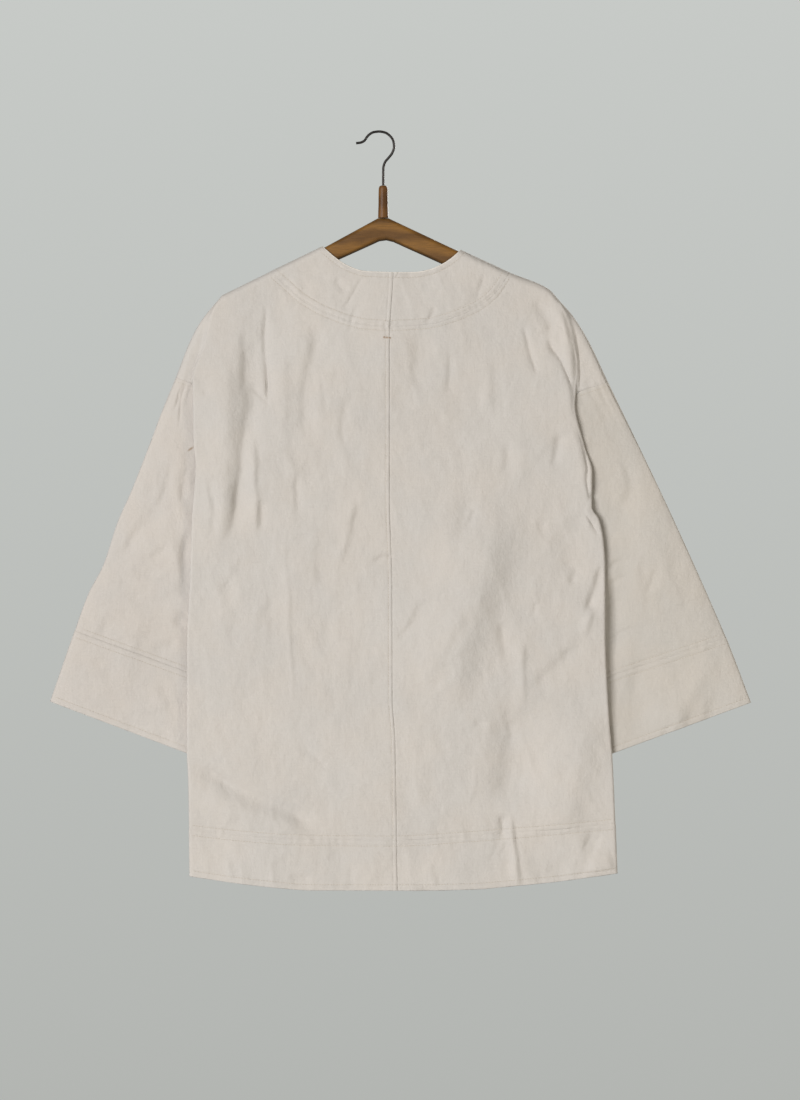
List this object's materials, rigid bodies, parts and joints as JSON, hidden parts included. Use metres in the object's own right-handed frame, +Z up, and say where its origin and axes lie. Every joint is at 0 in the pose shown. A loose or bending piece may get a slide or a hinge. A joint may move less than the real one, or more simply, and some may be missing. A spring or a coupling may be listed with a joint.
{
  "type": "wrap jacket on a hanger",
  "caption": "Wrap jacket in natural cotton canvas, with dropped shoulders and deep bands, hanging flat on a wooden hanger with a wire hook.",
  "frame": {"origin": "the inside top of the hook's curl, where a rod, rail or nail carries it", "axes": "+Z up; +X to the right as one looks at the jacket's back; the back faces -Y and the front +Y"},
  "size_m": [0.878, 0.0428, 0.9542],
  "materials": {
    "canvas": "undyed heavy cotton canvas, washed, matt, softly creased, topstitched in the same colour",
    "wood": "brown oiled hardwood with dark grain, satin",
    "neck_wood": "turned red-brown wood, polished by handling",
    "steel": "dark browned steel wire"
  },
  "bodies": {
    "root": {"back_left": "canvas", "front_left": "canvas", "collar_back_left": "canvas", "collar_front_left": "canvas", "front_band_left": "canvas", "hem_back_left": "canvas", "hem_front_left": "canvas", "sleeve_left": "canvas", "cuff_left": "canvas", "back_right": "canvas", "front_right": "canvas", "collar_back_right": "canvas", "collar_front_right": "canvas", "front_band_right": "canvas", "hem_back_right": "canvas", "hem_front_right": "canvas", "sleeve_right": "canvas", "cuff_right": "canvas", "hanger_arms": "wood", "hanger_neck": "neck_wood", "hanger_hook": "steel"}
  },
  "joints": []
}
